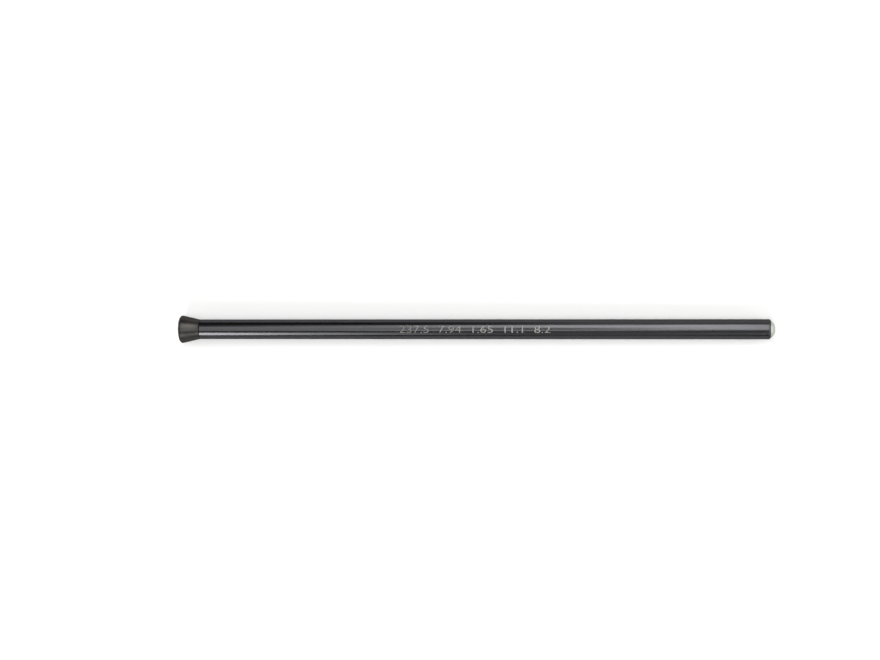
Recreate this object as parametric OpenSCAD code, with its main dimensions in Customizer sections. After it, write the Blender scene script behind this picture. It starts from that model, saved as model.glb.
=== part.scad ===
// Engine pushrod: a drawn steel tube with a cup end pressed into one mouth of
// its bore and a ball end pressed into the other. Oil runs through all three.
// The rod lies as it comes to rest on a level surface, with the cup towards -X:
// the cup's widest ring and the last full ring of the tube touch that surface.
//
// Each piece is turned about the rod's axis from a half section. In a section,
// x is the distance from the axis and y the distance from the cup's rim.

/* [Overall] */
// Length from the cup's rim to the crown of the ball, with its oil hole filled
overall_length = 237.49; // [120:0.01:330]

/* [Tube] */
// Outside diameter of the tube
tube_od = 7.9375; // [7:0.0125:9]
// Wall of the tube
tube_wall = 1.651; // [1.2:0.001:2.2]
// Edge break inside both mouths of the bore
bore_mouth_break = 0.2; // [0.05:0.05:0.4]
// Edge break on each side of the seam between the tube and the cup
seam_break = 0.22; // [0.05:0.01:0.4]
// Radial size of the chamfer round the tube's ball side
nose_chamfer_radial = 0.6; // [0.2:0.05:0.9]
// Length of that chamfer along the tube
nose_chamfer_length = 0.7; // [0.2:0.05:1.5]

/* [Cup end] */
// Diameter of the cup's widest ring
cup_od = 11.11; // [9.8:0.01:14]
// Length of the cup outside the tube, from its rim to the seam
cup_length = 8.2; // [6:0.01:12]
// Radius of the rounded lip outside the rim, where the rim has room for it
cup_lip_radius = 1.2; // [0.1:0.05:1.3]
// Least width of flat rim that the lip leaves round the socket's mouth
rim_land = 0.1; // [0.05:0.01:0.3]
// Diameter of the ball that works in the socket
socket_ball_d = 7.9375; // [6:0.0125:8.4]
// Gap between that ball and the socket's wall
socket_clearance = 0.04; // [0.01:0.01:0.1]
// Depth of the socket below the rim, oil hole filled
socket_depth = 4.4; // [3:0.05:5.5]
// Edge break round the socket's mouth
socket_mouth_break = 0.2; // [0.05:0.05:0.5]
// Diameter of the oil hole through the cup end
cup_oil_hole_d = 2; // [1:0.1:2.6]
// Length of the cup end's shank inside the tube
cup_shank_length = 11; // [6:0.5:25]

/* [Ball end] */
// Diameter of the ball
ball_d = 7.9375; // [6.6:0.0125:9.5]
// Height of the ball's crown above the tube's end face, with its oil hole filled
dome_height = 1.78; // [1:0.01:2.2]
// Diameter of the oil hole through the ball end
ball_oil_hole_d = 2; // [1:0.1:2.6]
// Edge break where the oil hole comes out at the crown
crown_break = 0.15; // [0.05:0.05:0.4]
// Length of the ball end's shank inside the tube
ball_shank_length = 9.5; // [6:0.5:25]

/* [Press fits] */
// Gap between each shank and the bore, zero for line to line
press_gap = 0; // [0:0.005:0.02]
// Lead chamfer on the inner end of each shank
shank_lead = 0.4; // [0.1:0.05:0.6]

/* [Hidden] */
// Sides that stand for a full turn in the preview
$fn = 128;

tube_r = tube_od / 2;
bore_r = tube_r - tube_wall;
shank_r = bore_r - press_gap;

cup_r = cup_od / 2;
// Place of the seam, where the tube's end face seats on the cup's shoulder
seam_y = cup_length;
cup_shank_end_y = seam_y + cup_shank_length;

socket_r = socket_ball_d / 2 + socket_clearance;
// Centre of the socket's sphere, outside the rim where the socket is shallow
socket_y = socket_depth - socket_r;
// Radius of the socket where it meets the rim
mouth_r = socket_y > 0 ? socket_r : sqrt(socket_r ^ 2 - socket_y ^ 2);
lip_r = min(cup_lip_radius, cup_r - mouth_r - socket_mouth_break - rim_land);

ball_r = ball_d / 2;
ball_y = overall_length - ball_r;
// Place of the tube's other end face, where the ball end's shoulder seats
nose_y = overall_length - dome_height;
ball_shank_end_y = nose_y - ball_shank_length;
// Where the crown's edge break leaves the ball
crown_break_r = ball_oil_hole_d / 2 + crown_break;
crown_break_y = ball_y + sqrt(ball_r ^ 2 - crown_break_r ^ 2);

// The two rings that the rod lies on, as [radius, place along the axis]
cup_ring = [cup_r, lip_r];
tube_ring = [tube_r, nose_y - nose_chamfer_length];
// Slope of the axis that lays both rings on the surface, ball side down
rest_slope = atan2(cup_ring.x - tube_ring.x, tube_ring.y - cup_ring.y);
// Height of the axis above the surface in the plane of the cup's rim
rest_height = cup_ring.x * cos(rest_slope) + cup_ring.y * sin(rest_slope);

// Turns a half section about the rod's axis and lays it down at rest
module turned_at_rest() {
    translate([-overall_length / 2, 0, rest_height])
        rotate([0, 90 + rest_slope, 0])
            rotate_extrude()
                children();
}

// Half section of an oil hole between two places along the axis
module oil_hole_section(hole_d, from_y, to_y) {
    translate([0, from_y])
        square([hole_d / 2, to_y - from_y]);
}

// Half section of the socket: sphere, straight mouth where it is deep, edge break
module socket_section() {
    translate([0, socket_y])
        circle(r = socket_r);
    if (socket_y > 0)
        square([socket_r, socket_y]);
    polygon([
        [0, 0],
        [mouth_r + socket_mouth_break, 0],
        [mouth_r - socket_mouth_break, 2 * socket_mouth_break],
        [0, 2 * socket_mouth_break],
    ]);
}

// Half section of the cup end before its holes: rim, rounded lip, cone, edge break
// at the seam, shoulder and shank
module cup_blank_section() {
    polygon([
        [0, 0],
        [cup_r - lip_r, 0],
        [cup_r, lip_r],
        [tube_r, seam_y - seam_break],
        [tube_r - seam_break, seam_y],
        [shank_r, seam_y],
        [shank_r, cup_shank_end_y - shank_lead],
        [shank_r - shank_lead, cup_shank_end_y],
        [0, cup_shank_end_y],
    ]);
    translate([cup_r - lip_r, lip_r])
        circle(r = lip_r);
}

// Half section of the ball end before its holes: the crown of the ball down to its
// shoulder, and the shank, whose section runs up to a point inside the crown
module ball_blank_section() {
    intersection() {
        translate([0, ball_y])
            circle(r = ball_r);
        translate([0, nose_y])
            square([ball_r, dome_height]);
    }
    polygon([
        [0, ball_shank_end_y],
        [shank_r - shank_lead, ball_shank_end_y],
        [shank_r, ball_shank_end_y + shank_lead],
        [shank_r, nose_y],
        [0, overall_length],
    ]);
}

// Half section of the cone that breaks the oil hole's edge at the crown
module crown_break_section() {
    polygon([
        [0, crown_break_y - crown_break_r],
        [crown_break_r, crown_break_y],
        [crown_break_r, overall_length],
        [0, overall_length],
    ]);
}

// The drawn tube: bore through, edges broken at the cup, chamfered at the ball
module tube() {
    color("#2d2d30")
        turned_at_rest()
            polygon([
                [bore_r + bore_mouth_break, seam_y],
                [tube_r - seam_break, seam_y],
                [tube_r, seam_y + seam_break],
                [tube_r, nose_y - nose_chamfer_length],
                [tube_r - nose_chamfer_radial, nose_y],
                [bore_r + bore_mouth_break, nose_y],
                [bore_r, nose_y - bore_mouth_break],
                [bore_r, seam_y + bore_mouth_break],
            ]);
}

// The cup end: a conical head with a spherical socket, on a pressed-in shank
module cup_end() {
    color("#45423e")
        turned_at_rest()
            difference() {
                cup_blank_section();
                socket_section();
                oil_hole_section(cup_oil_hole_d, 0, cup_shank_end_y);
            }
}

// The ball end: the crown of a ball on a pressed-in shank
module ball_end() {
    color("#cfd2ce")
        turned_at_rest()
            difference() {
                ball_blank_section();
                crown_break_section();
                oil_hole_section(ball_oil_hole_d, ball_shank_end_y, overall_length);
            }
}

tube();
cup_end();
ball_end();
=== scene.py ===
"""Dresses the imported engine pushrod: drawn tube, socket cup, ball tip and etched sizes.

The three steel pieces are turned round the rod's own axis where it lies at rest, from the
half sections that the solids have, with the small edge roundings that catch the light.
"""

import logging  # noqa: E402
import math  # noqa: E402
from dataclasses import dataclass  # noqa: E402
from enum import Enum  # noqa: E402

import bpy  # noqa: E402
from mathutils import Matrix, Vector  # noqa: E402


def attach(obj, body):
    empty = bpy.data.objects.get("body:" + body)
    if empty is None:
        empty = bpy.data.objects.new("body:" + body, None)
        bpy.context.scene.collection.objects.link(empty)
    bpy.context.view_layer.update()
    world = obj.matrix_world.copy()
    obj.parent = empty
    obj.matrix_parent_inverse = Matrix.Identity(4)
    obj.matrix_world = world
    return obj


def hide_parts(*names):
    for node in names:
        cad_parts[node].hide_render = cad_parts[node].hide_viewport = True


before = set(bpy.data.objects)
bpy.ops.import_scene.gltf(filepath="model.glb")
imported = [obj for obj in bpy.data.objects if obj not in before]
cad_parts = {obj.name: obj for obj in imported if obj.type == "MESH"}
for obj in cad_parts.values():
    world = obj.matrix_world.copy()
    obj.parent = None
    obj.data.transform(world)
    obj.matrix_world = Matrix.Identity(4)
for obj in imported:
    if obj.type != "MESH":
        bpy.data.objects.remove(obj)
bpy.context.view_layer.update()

LOG = logging.getLogger("pushrod")
MM = 0.001

# A place in a half section: how far along the axis from the cup's rim, and how far from it, in mm
Place = tuple[float, float]
Section = list[Place]

LATHE_STEPS = 160
SPHERE_PIECES = 24
LIP_PIECES = 10
MERGE_MM = 0.0005
SMOOTH_ANGLE_DEG = 32.0
# How far from a corner its holding places stand, as a share of the rounding's reach
HOLD_SHARE = 1.8
# Range that a texture's values mostly stay in
TEXTURE_LOW, TEXTURE_HIGH = 0.3, 0.7
# Socket numbers of a colour Mix: its share and its two colours
MIX_SHARE, MIX_FIRST, MIX_SECOND = 0, 6, 7
# Socket numbers of a Map Range: its value, then the low and high ends of what comes in and of what goes out
MAP_VALUE, IN_LOW, IN_HIGH, OUT_LOW, OUT_HIGH = range(5)


class Slot(Enum):
    """The record's material slots."""

    TUBE = "black_oxide_tube"
    CUP = "black_oxide_cup"
    BALL = "ground_steel"


def linear(hex_colour: str) -> tuple[float, float, float, float]:
    """Turns an sRGB hex colour into the linear colour that a shader takes.

    Args:
        hex_colour: The colour as "#rrggbb".

    Returns:
        Red, green, blue and an alpha of one, linear.
    """
    # The numbers are those of the sRGB standard's own curve
    parts = [int(hex_colour[i : i + 2], 16) / 255 for i in (1, 3, 5)]
    curved = [p / 12.92 if p <= 0.04045 else ((p + 0.055) / 1.055) ** 2.4 for p in parts]
    return (curved[0], curved[1], curved[2], 1.0)


def add_node(
    tree: bpy.types.NodeTree,
    kind: str,
    values: dict | None = None,
    links: dict | None = None,
    **settings: object,
) -> bpy.types.Node:
    """Adds one shader node with its settings, its socket values and its links.

    Args:
        tree: The node tree of a material or of the world.
        kind: The node's type name.
        values: Default values by input name or number.
        links: Output sockets by the input name or number that they feed.
        **settings: Properties of the node itself.

    Returns:
        The new node.
    """
    node = tree.nodes.new(kind)
    for key, value in settings.items():
        setattr(node, key, value)
    for key, value in (values or {}).items():
        node.inputs[key].default_value = value
    for key, source in (links or {}).items():
        tree.links.new(source, node.inputs[key])
    return node


def blank_material(name: str) -> bpy.types.Material:
    """Makes a material with an empty node tree."""
    material = bpy.data.materials.new(name)
    material.use_nodes = True
    material.node_tree.nodes.clear()
    return material


def deselect_all() -> None:
    """Leaves object mode with nothing selected."""
    if bpy.context.object is not None and bpy.context.object.mode != "OBJECT":
        bpy.ops.object.mode_set(mode="OBJECT")
    bpy.ops.object.select_all(action="DESELECT")


def arc(
    centre_mm: float,
    offset_mm: float,
    radius_mm: float,
    start: float,
    end: float,
    pieces: int,
) -> Section:
    """Lists the places along an arc in a half section.

    Args:
        centre_mm: The arc's centre along the axis.
        offset_mm: The arc's centre away from the axis.
        radius_mm: The arc's radius.
        start: First angle in degrees, from the +axis direction towards outside.
        end: Last angle in degrees.
        pieces: Straight pieces that the arc is divided into.

    Returns:
        The places from start to end, both included.
    """
    places = []
    for i in range(pieces + 1):
        turn = math.radians(start + (end - start) * i / pieces)
        places.append((centre_mm + radius_mm * math.cos(turn), offset_mm + radius_mm * math.sin(turn)))
    return places


def rounded(before: Place, corner: Place, after: Place, radius_mm: float, pieces: int = 4) -> Section:
    """Rounds one corner of a half section, with a holding place on each side of the rounding.

    Args:
        before: The place that the section comes from.
        corner: The corner itself.
        after: The place that the section goes to.
        radius_mm: Radius of the rounding.
        pieces: Straight pieces that the rounding is divided into.

    Returns:
        The places that stand for the corner.
    """
    tip = Vector(corner)
    back = (Vector(before) - tip).normalized()
    on = (Vector(after) - tip).normalized()
    half = back.angle(on) / 2
    reach = radius_mm / math.tan(half)
    middle = tip + (back + on).normalized() * (radius_mm / math.sin(half))
    first = tip + back * reach - middle
    last = tip + on * reach - middle
    places = [tip + back * reach * HOLD_SHARE]
    for i in range(pieces + 1):
        share = i / pieces
        mixed = first * (1 - share) + last * share
        places.append(middle + mixed.normalized() * radius_mm)
    places.append(tip + on * reach * HOLD_SHARE)
    return [(p.x, p.y) for p in places]


@dataclass(frozen=True)
class RodSizes:
    """The rod's sizes in mm, which are the solids' own."""

    length: float = 237.49
    tube_r: float = 7.9375 / 2
    wall: float = 1.651
    bore_break: float = 0.2
    seam_break: float = 0.22
    nose_radial: float = 0.6
    nose_length: float = 0.7
    cup_r: float = 11.11 / 2
    cup_length: float = 8.2
    lip_r: float = 1.2
    socket_r: float = 7.9375 / 2 + 0.04
    socket_depth: float = 4.4
    mouth_break: float = 0.2
    oil_r: float = 1.0
    cup_shank: float = 11.0
    ball_r: float = 7.9375 / 2
    dome: float = 1.78
    crown_break: float = 0.15
    ball_shank: float = 9.5
    shank_lead: float = 0.4
    # Keeps a shank's face just off the bore's, so that the two never flicker
    shank_clear: float = 0.01
    # Edge rounding left by deburring
    deburr: float = 0.05

    @property
    def bore_r(self) -> float:
        """Radius of the tube's bore."""
        return self.tube_r - self.wall

    @property
    def nose(self) -> float:
        """Where the tube ends and the ball's crown stands on it."""
        return self.length - self.dome


@dataclass(frozen=True)
class RestLine:
    """The rod's axis where it lies: the cup's widest ring and the tube's last full ring touch the floor."""

    sizes: RodSizes

    @property
    def slope(self) -> float:
        """Angle of the axis below level, towards the ball, in radians."""
        s = self.sizes
        return math.atan2(s.cup_r - s.tube_r, s.nose - s.nose_length - s.lip_r)

    @property
    def direction(self) -> Vector:
        """Unit vector along the axis, from the cup to the ball."""
        return Vector((math.cos(self.slope), 0.0, -math.sin(self.slope)))

    def at(self, place: Place) -> Vector:
        """Puts a place of a half section into the row frame.

        Args:
            place: Distance along the axis from the rim and distance from the axis, in mm.

        Returns:
            The point above the axis, in metres.
        """
        s = self.sizes
        height = s.cup_r * math.cos(self.slope) + s.lip_r * math.sin(self.slope)
        start = Vector((-s.length / 2, 0.0, height))
        outward = Vector((math.sin(self.slope), 0.0, math.cos(self.slope)))
        return (start + self.direction * place[0] + outward * place[1]) * MM


def turn_piece(name: str, section: Section, line: RestLine) -> bpy.types.Object:
    """Draws a closed half section as a chain of edges and spins it round the rod's axis.

    Args:
        name: The piece's name.
        section: The section's places, in order; the last joins the first.
        line: The axis at rest.

    Returns:
        The turned piece, with its place in its mesh.
    """
    deselect_all()
    closed = section + section[:1]
    bpy.ops.mesh.primitive_plane_add(size=MM, location=line.at(closed[0]))
    piece = bpy.context.object
    piece.name = name
    piece.data.name = name
    bpy.ops.object.mode_set(mode="EDIT")
    bpy.ops.mesh.select_all(action="SELECT")
    bpy.ops.mesh.merge(type="CENTER")
    for here, there in zip(closed, closed[1:]):
        step = line.at(there) - line.at(here)
        bpy.ops.mesh.extrude_region_move(TRANSFORM_OT_translate={"value": step})
    bpy.ops.mesh.select_all(action="SELECT")
    bpy.ops.mesh.spin(
        steps=LATHE_STEPS,
        angle=2 * math.pi,
        center=line.at((0.0, 0.0)),
        axis=line.direction,
    )
    bpy.ops.mesh.select_all(action="SELECT")
    bpy.ops.mesh.remove_doubles(threshold=MERGE_MM * MM)
    bpy.ops.mesh.normals_make_consistent(inside=False)
    bpy.ops.object.mode_set(mode="OBJECT")
    bpy.ops.object.transform_apply(location=True, rotation=True, scale=True)
    bpy.ops.object.shade_smooth_by_angle(angle=math.radians(SMOOTH_ANGLE_DEG))
    return piece


def lay_metal(
    made: bpy.types.Material,
    tones: tuple[str, str],
    toned_by: bpy.types.NodeSocket,
    roughness: tuple[float, float],
    dulled_by: bpy.types.NodeSocket,
    relief_mm: float,
    raised_by: bpy.types.NodeSocket,
    edge: str = "#ffffff",
) -> bpy.types.Material:
    """Lays what the metal finishes share over their patterns: tone, gloss, relief and the metal itself.

    Args:
        made: The material that holds the patterns.
        tones: The metal's two colours.
        toned_by: The pattern that mixes them.
        roughness: Roughness at the low and the high end of a pattern.
        dulled_by: The pattern that sets the roughness.
        relief_mm: Height of the relief.
        raised_by: The pattern that raises it.
        edge: Tint of what glances off the metal.

    Returns:
        The material.
    """
    tree = made.node_tree
    tone = add_node(
        tree,
        "ShaderNodeMix",
        values={MIX_FIRST: linear(tones[0]), MIX_SECOND: linear(tones[1])},
        links={MIX_SHARE: toned_by},
        data_type="RGBA",
    )
    gloss = add_node(
        tree,
        "ShaderNodeMapRange",
        values={IN_LOW: TEXTURE_LOW, IN_HIGH: TEXTURE_HIGH, OUT_LOW: roughness[0], OUT_HIGH: roughness[1]},
        links={MAP_VALUE: dulled_by},
    )
    relief = add_node(
        tree,
        "ShaderNodeBump",
        values={"Strength": 1.0, "Distance": relief_mm * MM},
        links={"Height": raised_by},
    )
    metal = add_node(
        tree,
        "ShaderNodeBsdfPrincipled",
        values={"Metallic": 1.0, "Specular Tint": linear(edge)},
        links={
            "Base Color": tone.outputs[2],
            "Roughness": gloss.outputs[0],
            "Normal": relief.outputs["Normal"],
        },
    )
    add_node(tree, "ShaderNodeOutputMaterial", links={"Surface": metal.outputs[0]})
    return made


@dataclass(frozen=True)
class OiledBlackOxide:
    """Black oxide on drawn and polished steel tube, sealed in oil.

    The coat is near black and slightly violet, the oil film gives it a satin gloss, and the
    drawing leaves faint lines along the tube that break up a highlight.
    """

    name: str = "oiled_black_oxide"
    deep: str = "#404042"
    worn: str = "#454547"
    # The oxide takes up part of what glances off it, so the tube's sides don't turn pale
    edge: str = "#b3b3b4"
    smooth: float = 0.16
    dull: float = 0.21
    # The real lines are about 0.1 mm apart; drawn at 0.5 mm, which is as fine as the render shows
    line_mm: float = 0.5
    line_run_mm: float = 70.0
    line_depth_mm: float = 0.001
    line_detail: float = 2.0
    cloud_mm: float = 9.0
    cloud_detail: float = 3.0

    def material(self, slope: float) -> bpy.types.Material:
        """Builds the finish.

        Args:
            slope: Angle of the rod's axis below level, in radians.

        Returns:
            The material.
        """
        made = blank_material(self.name)
        tree = made.node_tree
        coords = add_node(tree, "ShaderNodeTexCoord").outputs["Object"]
        across = 1 / (self.line_mm * MM)
        lengthwise = add_node(
            tree,
            "ShaderNodeMapping",
            values={"Rotation": (0.0, -slope, 0.0), "Scale": (1 / (self.line_run_mm * MM), across, across)},
            links={"Vector": coords},
        )
        lines = add_node(
            tree,
            "ShaderNodeTexNoise",
            values={"Scale": 1.0, "Detail": self.line_detail},
            links={"Vector": lengthwise.outputs["Vector"]},
        ).outputs[0]
        clouds = add_node(
            tree,
            "ShaderNodeTexNoise",
            values={"Scale": 1 / (self.cloud_mm * MM), "Detail": self.cloud_detail},
            links={"Vector": coords},
        ).outputs[0]
        tones = (self.deep, self.worn)
        roughness = (self.smooth, self.dull)
        return lay_metal(made, tones, clouds, roughness, lines, self.line_depth_mm, lines, self.edge)


@dataclass(frozen=True)
class MatteBlackOxide:
    """Black oxide on a turned and hardened steel end.

    Heat treatment leaves a slightly open surface, so the coat is duller and browner than on
    the tube, with faint turning rings and a soft highlight.
    """

    name: str = "matte_black_oxide"
    deep: str = "#3b3938"
    worn: str = "#454341"
    # As on the tube, the sides don't turn pale
    edge: str = "#b3b3b2"
    smooth: float = 0.28
    dull: float = 0.36
    # Feed marks of the turning tool; the real ones are about 0.1 mm apart, drawn at 0.4 mm to show
    ring_mm: float = 0.4
    # How far a ring runs round the cup before it fades
    ring_run_mm: float = 12.5
    ring_depth_mm: float = 0.002
    ring_detail: float = 2.0
    grain_mm: float = 1.2
    grain_detail: float = 4.0

    def material(self, slope: float) -> bpy.types.Material:
        """Builds the finish.

        Args:
            slope: Angle of the rod's axis below level, in radians.

        Returns:
            The material.
        """
        made = blank_material(self.name)
        tree = made.node_tree
        coords = add_node(tree, "ShaderNodeTexCoord").outputs["Object"]
        around = 1 / (self.ring_run_mm * MM)
        crosswise = add_node(
            tree,
            "ShaderNodeMapping",
            values={"Rotation": (0.0, -slope, 0.0), "Scale": (1 / (self.ring_mm * MM), around, around)},
            links={"Vector": coords},
        )
        rings = add_node(
            tree,
            "ShaderNodeTexNoise",
            values={"Scale": 1.0, "Detail": self.ring_detail},
            links={"Vector": crosswise.outputs["Vector"]},
        ).outputs[0]
        grain = add_node(
            tree,
            "ShaderNodeTexNoise",
            values={"Scale": 1 / (self.grain_mm * MM), "Detail": self.grain_detail},
            links={"Vector": coords},
        ).outputs[0]
        tones = (self.deep, self.worn)
        roughness = (self.smooth, self.dull)
        return lay_metal(made, tones, grain, roughness, grain, self.ring_depth_mm, rings, self.edge)


@dataclass(frozen=True)
class GroundSteel:
    """Bare bearing steel, ground to a ball and lapped.

    It is pale and even, with a soft sheen and fine rings round the crown.
    """

    name: str = "ground_steel"
    bright: str = "#adb2ab"
    shade: str = "#9fa49d"
    smooth: float = 0.22
    dull: float = 0.3
    # Lapping leaves rings about 0.02 mm apart; drawn at 0.3 mm, so that they show
    ring_mm: float = 0.3
    ring_depth_mm: float = 0.0008
    # How far the rings wander from true, and how finely
    ring_wander: float = 2.0
    ring_detail: float = 3.0
    # Turn of a wave texture's phase in one unit of its scale
    wave_turn: float = 20.0

    def material(self, centre: Vector) -> bpy.types.Material:
        """Builds the finish.

        Args:
            centre: The ball's centre, in metres.

        Returns:
            The material.
        """
        made = blank_material(self.name)
        tree = made.node_tree
        coords = add_node(tree, "ShaderNodeTexCoord").outputs["Object"]
        from_centre = add_node(
            tree,
            "ShaderNodeMapping",
            values={"Location": -centre},
            links={"Vector": coords},
        )
        rings = add_node(
            tree,
            "ShaderNodeTexWave",
            values={
                "Scale": 2 * math.pi / (self.wave_turn * self.ring_mm * MM),
                "Distortion": self.ring_wander,
                "Detail": self.ring_detail,
            },
            links={"Vector": from_centre.outputs["Vector"]},
            wave_type="RINGS",
            rings_direction="X",
        ).outputs[0]
        tones = (self.shade, self.bright)
        return lay_metal(made, tones, rings, (self.smooth, self.dull), rings, self.ring_depth_mm, rings)


@dataclass(frozen=True)
class EtchedSteel:
    """Steel bared by an electric etch through the black coat.

    The strokes are frosted and pale grey, a little uneven where the etch bit less.
    """

    name: str = "etched_steel"
    faint: str = "#62615e"
    clear: str = "#b4b1aa"
    roughness: float = 0.6
    # The frosted strokes scatter light, so they are only partly a metal to the eye
    metal_share: float = 0.4
    patch_mm: float = 1.6
    patch_detail: float = 3.0
    # The etch bit less where the row starts, and more towards its end
    starts_x_mm: float = -32.0
    ends_x_mm: float = 12.0
    starts_bite: float = -0.2
    ends_bite: float = 0.3

    def material(self) -> bpy.types.Material:
        """Builds the finish."""
        made = blank_material(self.name)
        tree = made.node_tree
        coords = add_node(tree, "ShaderNodeTexCoord").outputs["Object"]
        patches = add_node(
            tree,
            "ShaderNodeTexNoise",
            values={"Scale": 1 / (self.patch_mm * MM), "Detail": self.patch_detail},
            links={"Vector": coords},
        )
        along = add_node(tree, "ShaderNodeSeparateXYZ", links={0: coords}).outputs["X"]
        bite = add_node(
            tree,
            "ShaderNodeMapRange",
            values={
                IN_LOW: self.starts_x_mm * MM,
                IN_HIGH: self.ends_x_mm * MM,
                OUT_LOW: self.starts_bite,
                OUT_HIGH: self.ends_bite,
            },
            links={MAP_VALUE: along},
        )
        share = add_node(
            tree,
            "ShaderNodeMath",
            links={0: patches.outputs[0], 1: bite.outputs[0]},
            operation="ADD",
        )
        tone = add_node(
            tree,
            "ShaderNodeMix",
            values={MIX_FIRST: linear(self.faint), MIX_SECOND: linear(self.clear)},
            links={MIX_SHARE: share.outputs[0]},
            data_type="RGBA",
        )
        etch = add_node(
            tree,
            "ShaderNodeBsdfPrincipled",
            values={"Metallic": self.metal_share, "Roughness": self.roughness},
            links={"Base Color": tone.outputs[2]},
        )
        add_node(tree, "ShaderNodeOutputMaterial", links={"Surface": etch.outputs[0]})
        return made


@dataclass
class DrawnTube:
    """The tube: bore right through, edges broken at the cup, chamfered at the ball."""

    sizes: RodSizes
    line: RestLine
    finish: OiledBlackOxide

    def section(self) -> Section:
        """Lists the tube's half section, out along the outside and back along the bore."""
        s = self.sizes
        corners = [
            (s.cup_length, s.bore_r + s.bore_break),
            (s.cup_length, s.tube_r - s.seam_break),
            (s.cup_length + s.seam_break, s.tube_r),
            (s.nose - s.nose_length, s.tube_r),
            (s.nose, s.tube_r - s.nose_radial),
            (s.nose, s.bore_r + s.bore_break),
            (s.nose - s.bore_break, s.bore_r),
            (s.cup_length + s.bore_break, s.bore_r),
        ]
        places: Section = []
        for i, corner in enumerate(corners):
            after = corners[(i + 1) % len(corners)]
            places += rounded(corners[i - 1], corner, after, s.deburr)
        return places

    def build(self) -> bpy.types.Object:
        """Turns the tube, finishes it and puts it in its CAD node's place."""
        piece = turn_piece("drawn_tube", self.section(), self.line)
        piece.data.materials.append(self.finish.material(self.line.slope))
        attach(piece, "root")
        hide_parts("tube")
        return piece


@dataclass
class SocketCup:
    """The cup end: a conical head with a spherical socket, an oil hole and a pressed-in shank."""

    sizes: RodSizes
    line: RestLine
    finish: MatteBlackOxide

    def section(self) -> Section:
        """Lists the cup's half section, from the socket's floor round the lip to the shank."""
        s = self.sizes
        centre = s.socket_depth - s.socket_r
        floor_angle = math.degrees(math.asin(s.oil_r / s.socket_r))
        shank_r = s.bore_r - s.shank_clear
        end = s.cup_length + s.cup_shank
        rim_edge = (0.0, s.socket_r + s.mouth_break)
        lip_start = (0.0, s.cup_r - s.lip_r)
        cone_end = (s.cup_length - s.seam_break, s.tube_r)
        shoulder = (s.cup_length, s.tube_r - s.seam_break)
        root = (s.cup_length, shank_r)
        places = arc(centre, 0.0, s.socket_r, floor_angle, 90.0, SPHERE_PIECES)
        places += rounded(places[-1], (s.mouth_break, s.socket_r), rim_edge, s.deburr)
        places += rounded((s.mouth_break, s.socket_r), rim_edge, lip_start, s.deburr)
        places += arc(s.lip_r, s.cup_r - s.lip_r, s.lip_r, 180.0, 90.0, LIP_PIECES)
        places += rounded(places[-1], cone_end, shoulder, s.deburr)
        places += rounded(cone_end, shoulder, root, s.deburr)
        places += [root, (end - s.shank_lead, shank_r), (end, shank_r - s.shank_lead), (end, s.oil_r)]
        return places

    def build(self) -> bpy.types.Object:
        """Turns the cup end, finishes it and puts it in its CAD node's place."""
        piece = turn_piece("socket_cup", self.section(), self.line)
        piece.data.materials.append(self.finish.material(self.line.slope))
        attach(piece, "root")
        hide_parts("cup_end")
        return piece


@dataclass
class BallTip:
    """The ball end: the crown of a ball with an oil hole, on a pressed-in shank."""

    sizes: RodSizes
    line: RestLine
    finish: GroundSteel

    def section(self) -> Section:
        """Lists the ball end's half section, from the oil hole's mouth over the crown to the shank."""
        s = self.sizes
        centre = s.length - s.ball_r
        mouth_r = s.oil_r + s.crown_break
        mouth_angle = math.degrees(math.asin(mouth_r / s.ball_r))
        foot_angle = math.degrees(math.acos((s.nose - centre) / s.ball_r))
        mouth_along = centre + s.ball_r * math.cos(math.radians(mouth_angle))
        shank_r = s.bore_r - s.shank_clear
        end = s.nose - s.ball_shank
        places = [(mouth_along - s.crown_break, s.oil_r)]
        places += arc(centre, 0.0, s.ball_r, mouth_angle, foot_angle, SPHERE_PIECES)
        places += [
            (s.nose, shank_r),
            (end + s.shank_lead, shank_r),
            (end, shank_r - s.shank_lead),
            (end, s.oil_r),
        ]
        return places

    def build(self) -> bpy.types.Object:
        """Turns the ball end, finishes it and puts it in its CAD node's place."""
        piece = turn_piece("ball_tip", self.section(), self.line)
        centre = self.line.at((self.sizes.length - self.sizes.ball_r, 0.0))
        piece.data.materials.append(self.finish.material(centre))
        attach(piece, "root")
        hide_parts("ball_end")
        return piece


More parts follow.
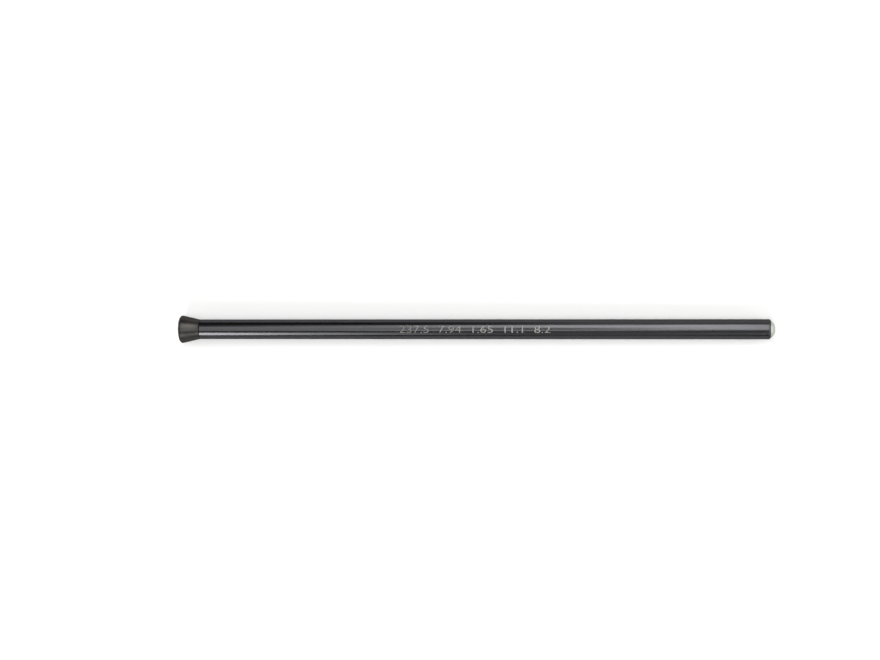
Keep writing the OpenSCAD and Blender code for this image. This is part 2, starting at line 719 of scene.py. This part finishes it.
@dataclass
class EtchedSizes:
    """A row of plain sizes in mm, etched along the tube: length, tube, wall, and the cup's two."""

    sizes: RodSizes
    line: RestLine
    finish: EtchedSteel
    digits: str = "237.5  7.94  1.65  11.1  8.2"
    # The row's middle, from the cup's rim and out of the rod's middle plane
    middle_mm: float = 119.5
    aside_mm: float = -0.2
    # Height over the tube from which the row is wrapped down on it
    drop_mm: float = 4.0
    digit_mm: float = 2.9
    # Height of a digit as a share of the font's size
    digit_share: float = 0.7
    # The etcher's digits are broad, so the font's are widened
    broader: float = 1.35
    # Taken off each side of the font's strokes, to the width that the etch has
    thinner_mm: float = 0.045
    # The strokes stand a hair over the tube's mesh, so that its facets never cover them
    lift_mm: float = 0.006
    # How far the strokes reach from there into the tube
    depth_mm: float = 0.03
    # Spacing of the cuts that let the digits follow the tube's curve
    cut_mm: float = 0.2

    def build(self, tube: bpy.types.Object) -> bpy.types.Object:
        """Sets the digits, wraps them on the tube and gives them their depth.

        Args:
            tube: The turned tube that carries them.

        Returns:
            The etched row.
        """
        deselect_all()
        above = self.line.at((self.middle_mm, self.sizes.tube_r + self.drop_mm))
        above += Vector((0.0, self.aside_mm * MM, 0.0))
        bpy.ops.object.text_add(location=above)
        piece = bpy.context.object
        piece.name = "etched_sizes"
        piece.data.body = self.digits
        piece.data.size = self.digit_mm * MM / self.digit_share
        piece.data.offset = -self.thinner_mm * MM
        piece.data.align_x = "CENTER"
        piece.data.align_y = "CENTER"
        bpy.ops.object.convert(target="MESH")
        bpy.ops.transform.resize(value=(self.broader, 1.0, 1.0))
        bpy.ops.object.transform_apply(location=True, rotation=True, scale=True)
        bpy.ops.object.mode_set(mode="EDIT")
        cuts = round(self.digit_mm / self.cut_mm)
        for i in range(1 - cuts, cuts):
            bpy.ops.mesh.select_all(action="SELECT")
            bpy.ops.mesh.bisect(plane_co=(0.0, i * self.cut_mm * MM, 0.0), plane_no=(0.0, 1.0, 0.0))
        bpy.ops.mesh.select_all(action="SELECT")
        bpy.ops.mesh.remove_doubles(threshold=MERGE_MM * MM)
        bpy.ops.object.mode_set(mode="OBJECT")
        wrap = piece.modifiers.new("wrap", "SHRINKWRAP")
        wrap.target = tube
        wrap.wrap_method = "PROJECT"
        wrap.use_project_z = True
        wrap.use_negative_direction = True
        wrap.use_positive_direction = False
        wrap.offset = self.lift_mm * MM
        depth = piece.modifiers.new("depth", "SOLIDIFY")
        depth.thickness = self.depth_mm * MM
        depth.offset = -1.0
        for name in ("wrap", "depth"):
            bpy.ops.object.modifier_apply(modifier=name)
        piece.data.materials.append(self.finish.material())
        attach(piece, "root")
        return piece


def hang_lamp(
    name: str,
    spot: tuple[float, float, float],
    rotation: tuple[float, float, float],
    sides: tuple[float, float],
    radiance: float,
) -> None:
    """Hangs one even, oblong lamp that lights the rod and stays out of the picture.

    Args:
        name: The lamp's name.
        spot: Its middle, in metres.
        rotation: Its turns about X, Y and Z, in radians.
        sides: Its two sides, in metres.
        radiance: Its brightness, where 1 is that of a lit white sheet.
    """
    deselect_all()
    bpy.ops.object.light_add(type="AREA", location=spot, rotation=rotation)
    lamp = bpy.context.object
    lamp.name = name
    lamp.visible_camera = False
    lamp.data.shape = "RECTANGLE"
    lamp.data.size = sides[0]
    lamp.data.size_y = sides[1]
    lamp.data.energy = radiance * math.pi * sides[0] * sides[1]


@dataclass(frozen=True)
class SoftPanel:
    """A soft light panel, as an arc of sky round the rod's axis."""

    name: str
    # Where it hangs, as an angle from straight up towards +Y, and the angle that it fills
    toward_deg: float
    spread_deg: float
    # Its two ends along the rod, in metres
    from_x: float
    to_x: float
    radiance: float
    distance: float = 1.6

    def hang(self) -> None:
        """Hangs the panel, facing the rod."""
        turn = math.radians(self.toward_deg)
        spot = (
            (self.from_x + self.to_x) / 2,
            self.distance * math.sin(turn),
            self.distance * math.cos(turn),
        )
        width = 2 * self.distance * math.tan(math.radians(self.spread_deg / 2))
        hang_lamp(self.name, spot, (-turn, 0.0, 0.0), (self.to_x - self.from_x, width), self.radiance)


@dataclass(frozen=True)
class EndCard:
    """A low soft card off one end of the rod, which that end shows."""

    name: str
    at_x: float
    radiance: float
    height: float = 0.3
    width: float = 0.6

    def hang(self) -> None:
        """Stands the card on the floor, facing the rod."""
        spot = (self.at_x, 0.0, self.height / 2)
        turn = math.copysign(math.pi / 2, self.at_x)
        hang_lamp(self.name, spot, (0.0, turn, 0.0), (self.height, self.width), self.radiance)


@dataclass
class Studio:
    """Pale floor, soft panels and cards, dim surround and the camera."""

    panels: tuple[SoftPanel, ...] = (
        SoftPanel("far_left_band", 2.0, 50.0, -0.62, -0.41, 2.0),
        SoftPanel("left_band", 13.0, 64.0, -0.41, -0.186, 2.05),
        SoftPanel("middle_band", 33.0, 32.0, -0.186, 0.0, 4.8),
        SoftPanel("middle_line", -13.5, 9.0, -0.225, 0.0, 4.2),
        SoftPanel("right_band", 22.0, 64.0, 0.0, 0.175, 6.5),
        SoftPanel("left_strip", -57.5, 30.0, -0.62, -0.41, 13.5),
        SoftPanel("dim_strip", -54.0, 30.0, -0.41, -0.225, 2.0),
        SoftPanel("cup_band", -14.0, 30.0, 0.26, 0.42, 2.8),
        SoftPanel("cup_strip", -53.0, 20.0, 0.28, 0.43, 20.0),
        SoftPanel("low_fill", -52.0, 72.0, -0.15, 0.12, 0.55),
        SoftPanel("high_fill", 72.0, 34.0, -0.11, 0.19, 0.9),
        SoftPanel("ball_side", 24.0, 16.0, 0.8, 2.8, 2.0),
        SoftPanel("cup_side", 24.0, 16.0, -2.8, -1.1, 2.0),
    )
    cards: tuple[EndCard, ...] = (EndCard("ball_card", 0.5, 1.4), EndCard("cup_card", -0.5, 0.9))
    sky_colour: str = "#ffffff"
    # The world's level overhead and at the horizon, and the rise over which it changes
    surround: float = 0.08
    horizon: float = 0.2
    horizon_rise: float = 0.14
    # Light from beyond the two ends: how far along X a direction points where it starts and where it is full
    ends_from: float = 0.45
    ends_to: float = 0.7
    # That light's level low down and high up, and the rises between which it falls
    ends_low: float = 0.7
    ends_high: float = 0.22
    ends_rise: tuple[float, float] = (0.15, 0.6)
    floor_m: float = 20.0
    floor_colour: str = "#f4f4f3"
    # What keeps the floor white to the eye, near the rod and far off, where the lamps fade,
    # and the distances from the rod's middle between which it grows
    floor_lift: float = 0.2
    far_lift: float = 0.95
    far_from: float = 0.1
    far_to: float = 2.0
    # The camera: tilt from straight down towards the ball, distance and aim in metres,
    # and focal length and frame width in pixels
    tilt_deg: float = 7.5
    camera_distance: float = 1.0
    aim: tuple[float, float, float] = (-0.01347, -0.0003, 0.00475)
    focal_px: float = 2517.0
    frame_px: float = 880.0
    sensor_mm: float = 36.0
    clip_start: float = 0.01

    def lay_floor(self) -> None:
        """Lays the floor that the rod rests on."""
        deselect_all()
        bpy.ops.mesh.primitive_plane_add(size=self.floor_m)
        floor = bpy.context.object
        floor.name = "studio_floor"
        made = blank_material("studio_floor")
        tree = made.node_tree
        path = add_node(tree, "ShaderNodeLightPath").outputs
        seen = add_node(
            tree,
            "ShaderNodeMath",
            links={0: path["Is Camera Ray"], 1: path["Is Glossy Ray"]},
            operation="MAXIMUM",
        )
        shown = add_node(
            tree,
            "ShaderNodeMath",
            links={0: seen.outputs[0], 1: path["Is Transmission Ray"]},
            operation="MAXIMUM",
        )
        spot = add_node(tree, "ShaderNodeTexCoord").outputs["Object"]
        reach = add_node(tree, "ShaderNodeVectorMath", links={0: spot}, operation="LENGTH")
        paler = add_node(
            tree,
            "ShaderNodeMapRange",
            values={
                IN_LOW: self.far_from,
                IN_HIGH: self.far_to,
                OUT_LOW: self.floor_lift,
                OUT_HIGH: self.far_lift,
            },
            links={MAP_VALUE: reach.outputs["Value"]},
            interpolation_type="SMOOTHSTEP",
        )
        lift = add_node(
            tree,
            "ShaderNodeMath",
            links={0: shown.outputs[0], 1: paler.outputs[0]},
            operation="MULTIPLY",
        )
        matte = add_node(tree, "ShaderNodeBsdfDiffuse", values={"Color": linear(self.floor_colour)})
        glow = add_node(tree, "ShaderNodeEmission", links={"Strength": lift.outputs[0]})
        both = add_node(tree, "ShaderNodeAddShader", links={0: matte.outputs[0], 1: glow.outputs[0]})
        add_node(tree, "ShaderNodeOutputMaterial", links={"Surface": both.outputs[0]})
        floor.data.materials.append(made)

    def light(self) -> None:
        """Sets the dim surround and hangs the panels and the cards."""
        world = bpy.data.worlds.new("surround")
        world.use_nodes = True
        world.node_tree.nodes.clear()
        tree = world.node_tree
        toward = add_node(tree, "ShaderNodeTexCoord").outputs["Generated"]
        parts = add_node(tree, "ShaderNodeSeparateXYZ", links={0: toward}).outputs
        level = add_node(
            tree,
            "ShaderNodeMapRange",
            values={IN_LOW: 0.0, IN_HIGH: self.horizon_rise, OUT_LOW: self.horizon, OUT_HIGH: self.surround},
            links={MAP_VALUE: parts["Z"]},
            interpolation_type="SMOOTHSTEP",
        )
        along = add_node(tree, "ShaderNodeMath", links={0: parts["X"]}, operation="ABSOLUTE")
        beyond = add_node(
            tree,
            "ShaderNodeMapRange",
            values={IN_LOW: self.ends_from, IN_HIGH: self.ends_to, OUT_LOW: 0.0, OUT_HIGH: 1.0},
            links={MAP_VALUE: along.outputs[0]},
            interpolation_type="SMOOTHSTEP",
        )
        falling = add_node(
            tree,
            "ShaderNodeMapRange",
            values={
                IN_LOW: self.ends_rise[0],
                IN_HIGH: self.ends_rise[1],
                OUT_LOW: self.ends_low,
                OUT_HIGH: self.ends_high,
            },
            links={MAP_VALUE: parts["Z"]},
            interpolation_type="SMOOTHSTEP",
        )
        ends = add_node(
            tree,
            "ShaderNodeMath",
            links={0: beyond.outputs[0], 1: falling.outputs[0]},
            operation="MULTIPLY",
        )
        strength = add_node(
            tree,
            "ShaderNodeMath",
            links={0: level.outputs[0], 1: ends.outputs[0]},
            operation="MAXIMUM",
        )
        sky = add_node(
            tree,
            "ShaderNodeBackground",
            values={"Color": linear(self.sky_colour)},
            links={"Strength": strength.outputs[0]},
        )
        add_node(tree, "ShaderNodeOutputWorld", links={"Surface": sky.outputs[0]})
        bpy.context.scene.world = world
        for lamp in self.panels + self.cards:
            lamp.hang()

    def set_camera(self) -> None:
        """Sets the camera above the rod, a little towards the ball."""
        deselect_all()
        tilt = math.radians(self.tilt_deg)
        back = Vector((math.sin(tilt), 0.0, math.cos(tilt)))
        spot = Vector(self.aim) + back * self.camera_distance
        bpy.ops.object.camera_add(location=spot, rotation=(0.0, tilt, 0.0))
        camera = bpy.context.object
        camera.name = "main_camera"
        camera.data.sensor_width = self.sensor_mm
        camera.data.lens = self.focal_px / self.frame_px * self.sensor_mm
        camera.data.clip_start = self.clip_start
        bpy.context.scene.camera = camera


def report(piece: bpy.types.Object) -> None:
    """Logs one finished piece."""
    LOG.info("%s: %d vertices, %d faces", piece.name, len(piece.data.vertices), len(piece.data.polygons))


def main() -> None:
    """Builds the rod's pieces, the studio and the camera."""
    logging.basicConfig(level=logging.INFO, format="%(name)s: %(message)s")
    bpy.context.scene.view_settings.view_transform = "Standard"
    sizes = RodSizes()
    line = RestLine(sizes)
    tube = DrawnTube(sizes, line, OiledBlackOxide()).build()
    report(tube)
    report(SocketCup(sizes, line, MatteBlackOxide()).build())
    report(BallTip(sizes, line, GroundSteel()).build())
    report(EtchedSizes(sizes, line, EtchedSteel()).build(tube))
    studio = Studio()
    studio.lay_floor()
    studio.light()
    studio.set_camera()


if __name__ == "__main__":
    main()
